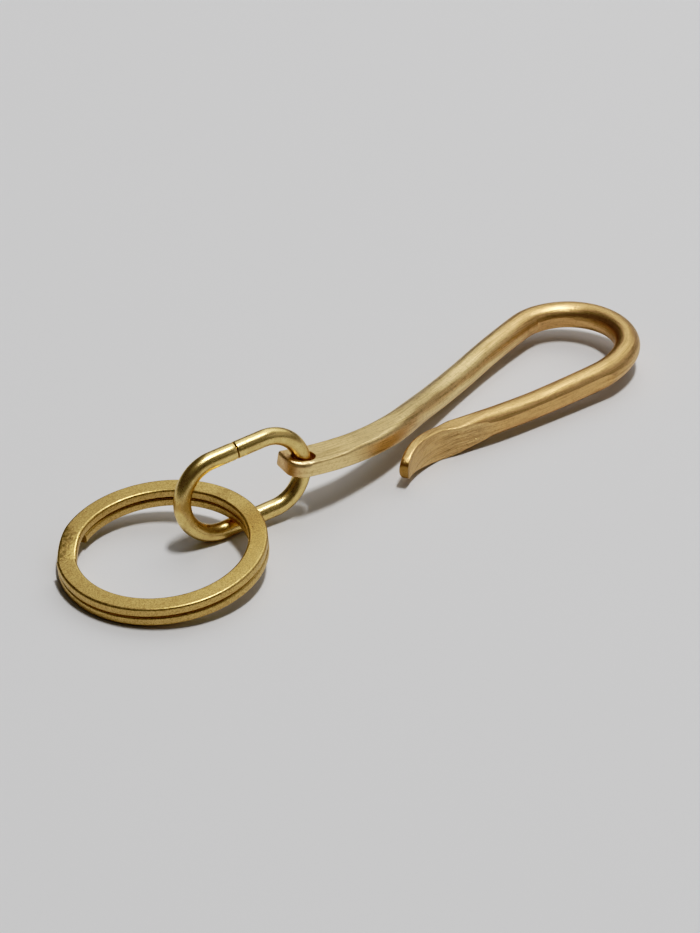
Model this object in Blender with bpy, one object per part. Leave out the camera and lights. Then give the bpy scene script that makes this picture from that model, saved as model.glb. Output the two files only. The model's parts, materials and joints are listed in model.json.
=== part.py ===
"""Forged brass key hook with an oval link and a split key ring, lying on a table.

Three loose pieces hang on each other like a short chain. The hook is one rod, flattened at one end into an
eye and at the other into a claw. The oval link is a bent wire whose ends butt together, and it passes through
the hook's eye. The split ring is one flat wire wound two turns, and it passes through the link.

Lengths are in metres and angles in degrees. +X runs along the pieces from the ring to the hook's bend, +Z is
up, and the origin is at table height in the middle of the whole outline.
"""

import math

import bmesh
import bpy
from mathutils import Matrix, Vector

# Split ring, one flat wire wound two turns
RING_OUTER_DIAMETER = 0.0280
RING_WIRE_WIDTH = 0.0026
RING_WIRE_THICKNESS = 0.0013
RING_WIRE_CHAMFER = 0.00030
RING_TURN_GAP = 0.00014
RING_RAMP_ANGLE = 32.0
RING_END_GAP_ANGLE = 1.0

# Oval link, one round wire closed by a butt joint
LINK_LENGTH = 0.0211
LINK_WIDTH = 0.0131
LINK_WIRE_DIAMETER = 0.0024
LINK_JOINT_WIDTH = 0.00045
LINK_JOINT_DEPTH = 0.00022
LINK_JOINT_OFFSET = -0.0003

# Rod of the hook
ROD_DIAMETER = 0.00396
BEND_ROD_DIAMETER = 0.00387

# Flattened eye end
EYE_WIDTH = 0.0048
EYE_THICKNESS = 0.0022
EYE_CORNER = 0.00028
EYE_NOSE_CORNER = 0.0006
EYE_NOSE_OPEN_CORNER = 0.0026
EYE_END_DISTANCE = 0.00285
EYE_HOLE_PLAY = 0.00032
EYE_HOLE_RIM = 0.0001
NECK_WIDTH = 0.0042
NECK_THICKNESS = 0.0028
NECK_CORNER = 0.0006
NECK_DISTANCE = 0.0125
EDGES_ROUND_DISTANCE = 0.0290
FLAT_END_DISTANCE = 0.0270

# Run of the hook's middle line, seen from above, from the eye to the claw
EYE_SWEEP_LENGTH = 0.02445
EYE_SWEEP_TURN = 34.7
SHANK_LENGTH = 0.0330
SHANK_TURN = -11.9
BEND_RADIUS = 0.0087
BEND_TURN = -165.4
BEND_EASE_LENGTH = 0.0075
BEND_EASE_TURN = -28.9
LEG_LENGTH = 0.0252
LEG_TURN = -4.9
CLAW_LENGTH = 0.0126
CLAW_TURN = 40.5

# Run of the hook's middle line, seen from the side
HOOK_PITCH = 2.9
EYE_LIFT_START = 0.0447
EYE_LIFT_EASE = 0.0139
CLAW_TIP_LIFT = 0.0018

# Filed faces
LEG_FACE_DEPTH = 0.00018
LEG_FACE_LEAD = 0.0020
LEG_FACE_RUN_IN = 0.0014
BEND_FACE_DEPTH = 0.00028
BEND_FACE_ROLL = -17.0
BEND_FACE_START = 0.0024
BEND_FACE_LENGTH = 0.0105
FACE_END_STEP = 0.0004

# Claw, measured up and down from the rod's middle line
CLAW_RISE = 0.00265
CLAW_ROOT_DROP = 0.00145
CLAW_DROP = 0.0021
CLAW_ROOT_THICKNESS = 0.0026
CLAW_THICKNESS = 0.0014
CLAW_EDGE = 0.00025
CLAW_TIP_RISE = 0.0001
CLAW_TIP_DROP = 0.0020
CLAW_TIP_CORNER = 0.0011
CLAW_TIP_THICKNESS = 0.0010
CLAW_START = 0.0084
CLAW_FULL = 0.0010
CLAW_ROOT_END = 0.0010
CLAW_FALL_LENGTH = 0.0090

# How the pieces lie on the table
LINK_HEADING = -5.4
LINK_PITCH = 5.5
LINK_LEAN = 6.7
EYE_ON_LINK_ANGLE = -5.6
EYE_HEADING = -8.5
RING_HEADING = 6.2
RING_ALONG_LINK = -0.00195
RING_END_HEADING = 119.0
RING_LINK_GAP = 0.0003

# Brass of each piece, as (red, green, blue) and roughness
HOOK_COLOUR = (0.56, 0.40, 0.18)
HOOK_ROUGHNESS = 0.30
LINK_COLOUR = (0.58, 0.43, 0.15)
LINK_ROUGHNESS = 0.25
RING_COLOUR = (0.50, 0.39, 0.15)
RING_ROUGHNESS = 0.38

# Fineness of the meshes, and the angle from which an edge is shaded sharp
HOOK_SHARP_ANGLE = 25.0
LINK_SHARP_ANGLE = 35.0
RING_SHARP_ANGLE = 30.0
CORNER_POINTS = 6
WIRE_SIDES = 16
LINK_ARC_STEPS = 18
LINK_SIDE_STEPS = 4
RING_STEP_ANGLE = 6.0
RING_RAMP_STEP_ANGLE = 4.0
HOOK_STEP = 0.0013
HOOK_TURN_STEP = 6.5
HOOK_END_STEPS = 4


def clear_scene():
    for item in list(bpy.data.objects):
        bpy.data.objects.remove(item, do_unlink=True)


def brass(name, colour, roughness):
    material = bpy.data.materials.new(name)
    material.use_nodes = True
    shader = material.node_tree.nodes["Principled BSDF"]
    shader.inputs["Base Color"].default_value = (*colour, 1.0)
    shader.inputs["Metallic"].default_value = 1.0
    shader.inputs["Roughness"].default_value = roughness
    return material


def smooth(share):
    share = min(max(share, 0.0), 1.0)
    return share * share * (3.0 - 2.0 * share)


def along(distance, stations):
    """The value at a distance along the rod, eased between (distance, value) stations."""
    if distance <= stations[0][0]:
        return stations[0][1]
    for (start, first), (end, second) in zip(stations, stations[1:]):
        if distance <= end:
            return first + (second - first) * smooth((distance - start) / (end - start))
    return stations[-1][1]


def add_loft(mesh, rings, closed):
    """Quads between neighbouring rings of points; an open loft gets a cap at each end."""
    loops = [[mesh.verts.new(point) for point in ring] for ring in rings]
    pairs = list(zip(loops, loops[1:]))
    if closed:
        pairs.append((loops[-1], loops[0]))
    for first, second in pairs:
        for i in range(len(first)):
            j = (i + 1) % len(first)
            mesh.faces.new((first[i], first[j], second[j], second[i]))
    if not closed:
        mesh.faces.new(list(reversed(loops[0])))
        mesh.faces.new(loops[-1])
    bmesh.ops.recalc_face_normals(mesh, faces=mesh.faces)


def add_object(name, rings, closed, material, origin, sharp_angle):
    """A lofted object whose own origin is at the given point."""
    mesh = bmesh.new()
    add_loft(mesh, [[point - origin for point in ring] for ring in rings], closed)
    data = bpy.data.meshes.new(name)
    mesh.to_mesh(data)
    mesh.free()
    data.shade_smooth()
    data.set_sharp_from_angle(angle=math.radians(sharp_angle))
    if material:
        data.materials.append(material)
    item = bpy.data.objects.new(name, data)
    bpy.context.scene.collection.objects.link(item)
    item.location = origin
    return item


def heading_vector(heading):
    return Vector((math.cos(math.radians(heading)), math.sin(math.radians(heading)), 0.0))


class Link:
    """Where the oval link stands: its middle, its long axis, its short axis and its end arcs."""

    def __init__(self):
        self.wire_radius = LINK_WIRE_DIAMETER / 2
        self.arc_radius = (LINK_WIDTH - LINK_WIRE_DIAMETER) / 2
        self.half_side = (LINK_LENGTH - LINK_WIDTH) / 2
        pitch = math.radians(LINK_PITCH)
        lean = math.radians(LINK_LEAN)
        level = heading_vector(LINK_HEADING)
        across = level.cross(Vector((0.0, 0.0, 1.0)))
        self.long_axis = level * math.cos(pitch) + Vector((0.0, 0.0, math.sin(pitch)))
        upright = across.cross(self.long_axis)
        self.short_axis = upright * math.cos(lean) - across * math.sin(lean)
        self.normal = self.long_axis.cross(self.short_axis)
        lowest = self.arc_radius * math.hypot(self.long_axis.z, self.short_axis.z) + self.wire_radius
        self.middle = Vector((0.0, 0.0, lowest + self.half_side * self.long_axis.z))
        self.hook_arc = self.middle + self.long_axis * self.half_side
        self.ring_arc = self.middle - self.long_axis * self.half_side

    def on_hook_arc(self, angle):
        turn = math.radians(angle)
        reach = self.long_axis * math.cos(turn) + self.short_axis * math.sin(turn)
        return self.hook_arc + reach * self.arc_radius

    def on_lower_side(self, distance):
        return self.middle + self.long_axis * distance - self.short_axis * self.arc_radius


def link_places(link):
    """(place along the long axis, turn round the oval, wire radius) of each section, with the joint groove."""
    joint = LINK_JOINT_OFFSET
    half_joint = LINK_JOINT_WIDTH / 2
    full = link.wire_radius
    places = []
    for i in range(LINK_ARC_STEPS + 1):
        places.append((link.half_side, -90.0 + 180.0 * i / LINK_ARC_STEPS, full))
    for i in range(1, LINK_SIDE_STEPS):
        share = i / LINK_SIDE_STEPS
        places.append((link.half_side + (joint + half_joint - link.half_side) * share, 90.0, full))
    places.append((joint + half_joint, 90.0, full))
    places.append((joint, 90.0, full - LINK_JOINT_DEPTH))
    places.append((joint - half_joint, 90.0, full))
    for i in range(1, LINK_SIDE_STEPS):
        share = i / LINK_SIDE_STEPS
        places.append((joint - half_joint - (link.half_side + joint - half_joint) * share, 90.0, full))
    for i in range(LINK_ARC_STEPS + 1):
        places.append((-link.half_side, 90.0 + 180.0 * i / LINK_ARC_STEPS, full))
    for i in range(1, 2 * LINK_SIDE_STEPS):
        places.append((link.half_side * (i / LINK_SIDE_STEPS - 1.0), 270.0, full))
    return places


def link_rings(link):
    """Round wire sections along the whole oval."""
    rings = []
    for offset, turn, radius in link_places(link):
        angle = math.radians(turn)
        outward = link.long_axis * math.cos(angle) + link.short_axis * math.sin(angle)
        centre = link.middle + link.long_axis * offset + outward * link.arc_radius
        ring = []
        for i in range(WIRE_SIDES):
            side = math.tau * (i + 0.5) / WIRE_SIDES
            ring.append(centre + (outward * math.cos(side) + link.normal * math.sin(side)) * radius)
        rings.append(ring)
    return rings


class Ring:
    """Where the split ring lies: propped on the link's lower side, with its far rim on the table."""

    def __init__(self, link):
        self.height = 2 * RING_WIRE_THICKNESS + RING_TURN_GAP
        self.middle_radius = (RING_OUTER_DIAMETER - RING_WIRE_WIDTH) / 2
        rise = link.wire_radius + self.height / 2 + RING_LINK_GAP
        self.pivot = link.on_lower_side(RING_ALONG_LINK) + link.short_axis * rise
        reach = self.middle_radius + RING_OUTER_DIAMETER / 2
        level = heading_vector(RING_HEADING)
        # the far lower rim touches the table: height of pivot = reach sin(tilt) + half the height cos(tilt)
        span = math.hypot(reach, self.height / 2)
        tilt = math.asin(self.pivot.z / span) - math.atan2(self.height / 2, reach)
        self.towards_pivot = level * math.cos(tilt) + Vector((0.0, 0.0, math.sin(tilt)))
        self.pivot_axis = Vector((0.0, 0.0, 1.0)).cross(level)
        self.normal = self.towards_pivot.cross(self.pivot_axis)
        self.middle = self.pivot - self.towards_pivot * self.middle_radius
        self.pitch = RING_WIRE_THICKNESS + RING_TURN_GAP

    def place(self, heading, level):
        """The outward direction at a heading, and the wire's middle there at a share of the pitch."""
        turn = math.radians(heading - RING_HEADING)
        outward = self.towards_pivot * math.cos(turn) + self.pivot_axis * math.sin(turn)
        rise = self.pitch * (level - 0.5)
        return outward, self.middle + outward * self.middle_radius + self.normal * rise


def ring_rings(ring):
    """Flat wire sections through the lower turn, up the ramp and through the upper turn."""
    half_width = RING_WIRE_WIDTH / 2
    half_thick = RING_WIRE_THICKNESS / 2
    cut = RING_WIRE_CHAMFER
    outline = []
    for side_out, side_up in ((1, 1), (-1, 1), (-1, -1), (1, -1)):
        corner = [
            (side_out * half_width, side_up * (half_thick - cut)),
            (side_out * (half_width - cut), side_up * half_thick),
        ]
        outline += corner if side_out == side_up else reversed(corner)
    turn_angle = 360.0 - RING_RAMP_ANGLE - RING_END_GAP_ANGLE
    steps = round(turn_angle / RING_STEP_ANGLE)
    ramp_steps = math.ceil(RING_RAMP_ANGLE / RING_RAMP_STEP_ANGLE)
    places = [(turn_angle * i / steps, 0.0) for i in range(steps + 1)]
    ramp_start = turn_angle + RING_END_GAP_ANGLE
    for i in range(ramp_steps + 1):
        share = i / ramp_steps
        places.append((ramp_start + (RING_RAMP_ANGLE - RING_END_GAP_ANGLE) * share, smooth(share)))
    for i in range(1, steps + 1):
        places.append((360.0 + turn_angle * i / steps, 1.0))
    rings = []
    for angle, level in places:
        outward, centre = ring.place(RING_END_HEADING - angle, level)
        rings.append([centre + outward * out + ring.normal * up for out, up in outline])
    return rings


def hook_arcs():
    """(length, turn) of each stretch of the hook's middle line, seen from above, from the eye to the tip."""
    return (
        (EYE_SWEEP_LENGTH, EYE_SWEEP_TURN),
        (SHANK_LENGTH, SHANK_TURN),
        (BEND_RADIUS * math.radians(abs(BEND_TURN)), BEND_TURN),
        (BEND_EASE_LENGTH, BEND_EASE_TURN),
        (LEG_LENGTH, LEG_TURN),
        (CLAW_LENGTH, CLAW_TURN),
    )


def hook_plan(distance):
    """The middle line's place and heading seen from above, with the eye's end at zero."""
    place = Vector((0.0, 0.0, 0.0))
    heading = EYE_HEADING
    for length, turn in hook_arcs():
        step = min(distance, length)
        turned = turn * step / length
        half_turn = math.radians(turned) / 2
        chord = step * math.sin(half_turn) / half_turn if half_turn else step
        place = place + heading_vector(heading + turned / 2) * chord
        heading += turned
        distance -= step
    return place, heading


class HookShape:
    """Cross-section sizes along the hook, each a list of (distance, size) stations."""

    def __init__(self):
        marks = [0.0]
        for length, _ in hook_arcs():
            marks.append(marks[-1] + length)
        self.marks = marks
        _, _, shank_end, bend_end, ease_end, leg_end, tip = marks
        rod = ROD_DIAMETER / 2
        bend = BEND_ROD_DIAMETER / 2
        flat = 2 * EYE_END_DISTANCE
        claw_start = leg_end - CLAW_START
        claw_full = leg_end - CLAW_FULL
        self.tip = tip
        self.fall_start = tip - CLAW_FALL_LENGTH
        round_end = [(FLAT_END_DISTANCE, rod), (shank_end, rod)]
        round_end += [(shank_end + BEND_RADIUS, bend), (bend_end, bend)]
        leg = [(ease_end, rod), (claw_start, rod)]
        flat_end = [(flat, EYE_THICKNESS / 2), (NECK_DISTANCE, NECK_THICKNESS / 2)]
        self.half_width = [(flat, EYE_WIDTH / 2), (NECK_DISTANCE, NECK_WIDTH / 2)] + round_end + leg
        claw = [(leg_end, CLAW_ROOT_THICKNESS), (self.fall_start, CLAW_THICKNESS), (tip, CLAW_TIP_THICKNESS)]
        self.half_width += [(place, thickness / 2 + CLAW_EDGE) for place, thickness in claw]
        self.above = flat_end + round_end + leg + [(claw_full, CLAW_RISE)]
        root = [(ease_end, rod), (leg_end - CLAW_ROOT_END, CLAW_ROOT_DROP)]
        self.below = flat_end + round_end + root + [(self.fall_start, CLAW_DROP), (tip, CLAW_TIP_DROP)]
        self.corner = [(flat, EYE_CORNER), (NECK_DISTANCE, NECK_CORNER), (EDGES_ROUND_DISTANCE, rod)]
        self.corner += [(claw_start, rod), (self.fall_start, 2 * CLAW_EDGE)]
        face_start = shank_end + BEND_FACE_START
        self.face_ends = [face_start, face_start + FACE_END_STEP]
        self.inner_cut = [
            (face_start, 0.0),
            (face_start + FACE_END_STEP, BEND_FACE_DEPTH),
            (face_start + BEND_FACE_LENGTH / 2, BEND_FACE_DEPTH),
            (face_start + BEND_FACE_LENGTH, 0.0),
        ]
        self.roll = [
            (shank_end - BEND_FACE_LENGTH, 0.0),
            (face_start, BEND_FACE_ROLL),
            (face_start + BEND_FACE_LENGTH, BEND_FACE_ROLL),
            (bend_end, 0.0),
        ]
        leg_face_start = ease_end - LEG_FACE_LEAD
        self.outer_cut = [
            (leg_face_start, 0.0),
            (leg_face_start + LEG_FACE_RUN_IN, LEG_FACE_DEPTH),
            (claw_start, LEG_FACE_DEPTH),
            (self.fall_start, CLAW_EDGE),
        ]
        self.claw_lift = [(leg_end, 0.0), (tip, CLAW_TIP_LIFT)]

    def distances(self):
        """Where the sections stand: even steps, closer at the nose, the bend's face and the claw's tip."""
        found = []
        for (length, turn), start in zip(hook_arcs(), self.marks):
            steps = max(math.ceil(length / HOOK_STEP), math.ceil(abs(turn) / HOOK_TURN_STEP))
            found += [start + length * i / steps for i in range(steps)]
        close = self.face_ends + [EYE_NOSE_CORNER]
        for i in range(HOOK_END_STEPS + 1):
            quarter = math.pi / 2 * i / HOOK_END_STEPS
            close.append(EYE_NOSE_OPEN_CORNER * (1.0 - math.cos(quarter)))
            close.append(self.tip - CLAW_FALL_LENGTH * (1.0 - math.sin(quarter)))
            close.append(self.tip - CLAW_TIP_CORNER * (1.0 - math.sin(quarter)))
        found = [d for d in found if min(abs(d - other) for other in close) > HOOK_STEP / 3]
        return sorted({round(d, 6) for d in found + close})

    @staticmethod
    def rounding(distance, radius):
        """How far a rounded corner draws in at a distance from the end."""
        left = min(max(radius - distance, 0.0), radius)
        return radius - math.sqrt(radius**2 - left**2)

    def rise(self, distance):
        """Height above the middle line, falling like a quarter of an oval at the claw's end."""
        fall = max(distance - self.fall_start, 0.0) / CLAW_FALL_LENGTH
        drop = (CLAW_RISE - CLAW_TIP_RISE) * (1.0 - math.sqrt(max(1.0 - fall * fall, 0.0)))
        return along(distance, self.above) - drop

    def section(self, distance):
        """Rounded rectangle as (to the right, up) offsets, cut flat on each side where a face is filed."""
        full_width = along(distance, self.half_width)
        right_width = full_width - self.rounding(distance, EYE_NOSE_OPEN_CORNER)
        left_width = full_width - self.rounding(distance, EYE_NOSE_CORNER)
        above = self.rise(distance)
        below = along(distance, self.below) - self.rounding(self.tip - distance, CLAW_TIP_CORNER)
        corner = min(along(distance, self.corner), (left_width + right_width) / 2, (above + below) / 2)
        right_cut = along(distance, self.inner_cut)
        left_cut = along(distance, self.outer_cut)
        half_step = math.pi / 4 / CORNER_POINTS
        roll = math.radians(along(distance, self.roll))
        points = []
        for side, up, cut in ((1, 1, right_cut), (-1, 1, left_cut), (-1, -1, left_cut), (1, -1, right_cut)):
            # each corner's points start where the arc leaves the cut face
            start = max(math.acos(max(1.0 - cut / corner, 0.0)), half_step)
            quarter = []
            for i in range(CORNER_POINTS):
                angle = start + (math.pi / 2 - half_step - start) * i / (CORNER_POINTS - 1)
                across = (right_width if side > 0 else left_width) - corner + corner * math.cos(angle)
                upward = (above if up > 0 else below) - corner + corner * math.sin(angle)
                quarter.append((side * across, up * upward))
            points += quarter if side == up else reversed(quarter)
        cosine, sine = math.cos(roll), math.sin(roll)
        return [(x * cosine - z * sine, x * sine + z * cosine) for x, z in points]


def hook_rings(eye):
    """Sections of the hook, with the eye's middle at the given point and the underside on the table."""
    shape = HookShape()
    distances = shape.distances()
    plan = [hook_plan(distance) for distance in distances]
    eye_place, eye_heading = hook_plan(EYE_END_DISTANCE)
    slope = math.tan(math.radians(HOOK_PITCH))
    level = [slope * (p - eye_place).x + along(d, shape.claw_lift) for d, (p, _) in zip(distances, plan)]
    undersides = [z - along(d, shape.below) for d, z in zip(distances, level) if d > EYE_LIFT_START]
    base = -min(undersides)
    eye_slope = (eye.z - base) / (EYE_LIFT_START - EYE_END_DISTANCE - EYE_LIFT_EASE / 2)
    line = []
    for distance, (place, _), height in zip(distances, plan, level):
        before = max(EYE_LIFT_START - distance, 0.0)
        eased = before - EYE_LIFT_EASE / 2
        if before < EYE_LIFT_EASE:
            eased = before * before / (2 * EYE_LIFT_EASE)
        spot = place - eye_place
        line.append(Vector((eye.x + spot.x, eye.y + spot.y, base + height + eye_slope * eased)))
    rings = []
    for i, (distance, (_, heading)) in enumerate(zip(distances, plan)):
        tangent = (line[min(i + 1, len(line) - 1)] - line[max(i - 1, 0)]).normalized()
        right = heading_vector(heading).cross(Vector((0.0, 0.0, 1.0)))
        up = right.cross(tangent)
        rings.append([line[i] + right * across + up * upward for across, upward in shape.section(distance)])
    ahead = heading_vector(eye_heading)
    fall = slope * ahead.x - eye_slope
    eye_axis = (Vector((0.0, 0.0, 1.0)) - ahead * fall).normalized()
    return rings, eye_axis


def cut_eye_hole(hook, eye, axis):
    """Drills the eye square to its faces, with a small broken rim on both sides."""
    hole_radius = LINK_WIRE_DIAMETER / 2 + EYE_HOLE_PLAY
    half = EYE_THICKNESS / 2
    sideways = axis.orthogonal().normalized()
    forward = axis.cross(sideways)
    rings = []
    profile = (
        (-half - EYE_HOLE_RIM, hole_radius + 2 * EYE_HOLE_RIM),
        (-half + EYE_HOLE_RIM, hole_radius),
        (half - EYE_HOLE_RIM, hole_radius),
        (half + EYE_HOLE_RIM, hole_radius + 2 * EYE_HOLE_RIM),
    )
    sides = 4 * CORNER_POINTS
    for height, radius in profile:
        ring = []
        for i in range(sides):
            angle = math.tau * i / sides
            outward = sideways * math.cos(angle) + forward * math.sin(angle)
            ring.append(eye + axis * height + outward * radius)
        rings.append(ring)
    cutter = add_object("eye_hole_cutter", rings, False, None, eye, HOOK_SHARP_ANGLE)
    cutter.hide_render = True
    cutter.display_type = "WIRE"
    cut = hook.modifiers.new("eye_hole", "BOOLEAN")
    cut.operation = "DIFFERENCE"
    cut.solver = "EXACT"
    cut.object = cutter
    return cutter


def centre_on_origin(pieces):
    """Moves every piece alike, so that the whole outline is centred on the origin, with its base at zero."""
    corners = [item.matrix_world @ vertex.co for item in pieces for vertex in item.data.vertices]
    middle_x = (min(c.x for c in corners) + max(c.x for c in corners)) / 2
    middle_y = (min(c.y for c in corners) + max(c.y for c in corners)) / 2
    shift = Matrix.Translation((-middle_x, -middle_y, -min(c.z for c in corners)))
    for item in bpy.data.objects:
        item.matrix_world = shift @ item.matrix_world


def build():
    clear_scene()
    hook_brass = brass("hook_brass", HOOK_COLOUR, HOOK_ROUGHNESS)
    wire_brass = brass("wire_brass", LINK_COLOUR, LINK_ROUGHNESS)
    ring_brass = brass("ring_brass", RING_COLOUR, RING_ROUGHNESS)
    link = Link()
    ring = Ring(link)
    eye = link.on_hook_arc(EYE_ON_LINK_ANGLE)
    rings, eye_axis = hook_rings(eye)
    hook = add_object("hook", rings, False, hook_brass, eye, HOOK_SHARP_ANGLE)
    cut_eye_hole(hook, eye, eye_axis)
    oval = add_object("oval_link", link_rings(link), True, wire_brass, link.hook_arc, LINK_SHARP_ANGLE)
    split = add_object("split_ring", ring_rings(ring), False, ring_brass, ring.middle, RING_SHARP_ANGLE)
    bpy.context.view_layer.update()
    centre_on_origin([hook, oval, split])
    bpy.context.view_layer.update()
    return link, ring


if __name__ == "__main__":
    build()
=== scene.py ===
"""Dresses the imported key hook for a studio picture: hook, oval link and split ring in finished brass.

Each piece replaces its plain solid with a finer one at the same place, so everything is laid out from the
same sizes. The hook and the link are placed from the joint between them, and the ring from its own joint.
Lengths are in metres unless a name ends in _mm.
"""

import json
import math

import bpy
from bpy.props import FloatProperty, FloatVectorProperty, PointerProperty
from mathutils import Matrix, Quaternion, Vector, noise


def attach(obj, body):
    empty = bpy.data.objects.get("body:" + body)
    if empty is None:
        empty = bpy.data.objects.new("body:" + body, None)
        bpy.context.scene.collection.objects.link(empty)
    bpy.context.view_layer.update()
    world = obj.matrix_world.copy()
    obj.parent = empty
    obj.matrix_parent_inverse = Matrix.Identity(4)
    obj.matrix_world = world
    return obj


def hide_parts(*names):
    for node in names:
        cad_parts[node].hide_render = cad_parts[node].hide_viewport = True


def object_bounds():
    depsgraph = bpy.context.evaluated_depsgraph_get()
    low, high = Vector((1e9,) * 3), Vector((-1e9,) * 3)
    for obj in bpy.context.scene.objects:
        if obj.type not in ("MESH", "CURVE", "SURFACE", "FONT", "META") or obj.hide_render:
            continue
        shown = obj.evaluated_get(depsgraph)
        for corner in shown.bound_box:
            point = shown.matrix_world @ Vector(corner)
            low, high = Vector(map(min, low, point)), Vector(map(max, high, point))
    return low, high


bl_info = {
    "name": "Brass Key Hook",
    "version": (1, 0, 0),
    "blender": (4, 5, 0),
    "location": "3D View > Sidebar > Key Hook",
    "description": "Models a forged brass key hook with its link and split ring, and lights it in a studio",
    "category": "Object",
}

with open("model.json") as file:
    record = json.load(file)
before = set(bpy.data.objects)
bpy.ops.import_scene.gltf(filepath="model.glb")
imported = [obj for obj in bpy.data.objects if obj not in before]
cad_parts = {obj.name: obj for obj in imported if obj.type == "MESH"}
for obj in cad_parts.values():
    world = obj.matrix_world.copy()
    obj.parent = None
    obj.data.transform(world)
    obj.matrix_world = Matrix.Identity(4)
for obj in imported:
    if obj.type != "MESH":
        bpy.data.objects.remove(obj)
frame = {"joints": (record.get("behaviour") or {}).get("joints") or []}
CAD_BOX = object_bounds()

# The hook's middle line seen from above, from the eye's end to the claw's tip: (length, turn in degrees)
EYE_SWEEP = (0.02445, 34.7)
SHANK = (0.0330, -11.9)
BEND_RADIUS = 0.0087
BEND_TURN = -165.4
BEND_EASE = (0.0075, -28.9)
LEG = (0.0252, -4.9)
CLAW = (0.0126, 40.5)

# The hook's middle line seen from the side, angles in degrees
HOOK_PITCH = 2.9
EYE_LIFT_START = 0.0447
EYE_LIFT_EASE = 0.0139
CLAW_TIP_LIFT = 0.0018

# Flattened eye end
EYE_CORNER = 0.00028
EYE_LIP_CORNER = 0.00075
EYE_LIP_LENGTH = 0.0024
EYE_LIP_FADE = 0.0012
EYE_NOSE_CORNER = 0.0006
EYE_NOSE_OPEN_CORNER = 0.0026
EYE_NOSE_EDGE = 0.00045
EYE_END_DISTANCE = 0.00285
EYE_HOLE_RIM = 0.00018
NECK_WIDTH = 0.0042
NECK_THICKNESS = 0.0028
NECK_CORNER = 0.0006
NECK_DISTANCE = 0.0125
EDGES_ROUND_DISTANCE = 0.0290
FLAT_END_DISTANCE = 0.0270

# Filed faces, where the claw's starts with (distance from its crease, extra depth over the leg's face)
LEG_FACE_DEPTH = 0.00024
LEG_FACE_END_DEPTH = 0.00016
LEG_FACE_LEAD = 0.0020
LEG_FACE_RUN_IN = 0.0014
CLAW_FACE_LEAD = 0.0047
CLAW_FACE_START = ((0.0, 0.0), (0.0004, 0.00014), (0.0040, 0.00034))
BEND_FACE_DEPTH = 0.00028
BEND_FACE_ROLL = -17.0
BEND_FACE_START = 0.0024
BEND_FACE_LENGTH = 0.0105
FACE_END_STEP = 0.00012
FACE_END_GROOVE = 0.00013

# Claw, measured up and down from the rod's middle line
CLAW_RISE = 0.00265
CLAW_ROOT_DROP = 0.00145
CLAW_DROP = 0.0021
CLAW_ROOT_THICKNESS = 0.0026
CLAW_EDGE = 0.00025
CLAW_TIP_RISE = 0.0001
CLAW_TIP_DROP = 0.0020
CLAW_TIP_CORNER = 0.0011
CLAW_TIP_THICKNESS = 0.0010
CLAW_FALL_LENGTH = 0.0090

# How the leg turns into the claw, as distances back from the start of the claw's sideways bend
CLAW_START = 0.0084
CLAW_SWELL_START = 0.0150
CLAW_SWELL_END = 0.0010
CLAW_ROOT_END = 0.0010

# How the pieces lie on the table, angles in degrees
LINK_HEADING = -5.4
LINK_PITCH = 5.5
LINK_LEAN = 6.7
EYE_ON_LINK_ANGLE = -5.6
EYE_HEADING = -8.5
RING_HEADING = 6.2
RING_END_HEADING = 119.0

# How far the link's butt joint lies from the middle of its side, towards the hook
LINK_JOINT_OFFSET = -0.0003

# The joint's groove between the wire ends: (distance from its middle towards the hook, depth)
LINK_JOINT_STEPS = (
    (-0.00046, 0.0),
    (-0.00038, 0.00001),
    (-0.00012, 0.00005),
    (-0.00006, 0.00013),
    (-0.00004, 0.00046),
    (0.00004, 0.00046),
    (0.00006, 0.00006),
    (0.00012, 0.00001),
    (0.00018, 0.0),
)

# Unevenness that hammering leaves: depth as a share of the rod's radius, and the size of its waves
WAVE_DEPTH = 0.011
WAVE_LENGTH = 0.0040
WAVE_WIDTH = 0.0022

# Fineness of the meshes
HOOK_STEP = 0.0004
HOOK_TURN_STEP = 2.0
HOOK_END_STEPS = 10
CORNER_POINTS = 18
WIRE_SIDES = 56
LINK_ARC_STEPS = 60
LINK_SIDE_STEPS = 12
RING_STEP_ANGLE = 2.0
RING_EDGE_STEPS = 6
HOLE_SIDES = 96
HOLE_RIM_STEPS = 6
DRILL_REACH = 0.00002
SEAM_TOLERANCE = 0.000002

# Edges that turn by more than this many degrees stay sharp
HOOK_SHARP_ANGLE = 20.0
DRILL_SHARP_ANGLE = 30.0
LINK_SHARP_ANGLE = 32.0
RING_SHARP_ANGLE = 28.0

# Floor of smooth seamless paper
FLOOR_SIZE = 4.0
FLOOR_DROP = 0.00003
PAPER_ROUGHNESS = 0.9
PAPER_SHINE = 0.1
PAPER_FIBRE_MM = 0.3
PAPER_FIBRE_CONTRAST = 1.01

# Softboxes, all facing the pieces: (name, property with its strength, size, place, roll in degrees)
SOFTBOXES = (
    ("key_softbox", "key_strength", (0.33, 0.17), (0.17, -0.15, 1.60), 3.0),
    ("back_wall", "wall_strength", (1.44, 0.90), (0.84, 0.50, 0.90), 0.0),
    ("top_panel", "top_strength", (0.80, 0.55), (0.42, 0.30, 1.36), 0.0),
    ("side_wall", "side_strength", (1.50, 0.70), (0.90, -0.60, 0.66), 0.0),
)

# Camera, angles in degrees
CAMERA_PLACE = (-0.2213, -0.2779, 0.2226)
CAMERA_ANGLES = (58.0, 0.0, -38.0)
CAMERA_SENSOR_MM = 36.0
CAMERA_NEAREST = 0.01

# Film curve: (light level as a share of the white level, level shown)
FILM_WHITE = 2.0
FILM_CURVE = (
    (0.0, 0.0),
    (0.015, 0.004),
    (0.05, 0.055),
    (0.10, 0.15),
    (0.21, 0.37),
    (0.36, 0.578),
    (0.50, 0.72),
    (0.75, 0.90),
    (1.0, 1.0),
)


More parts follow.
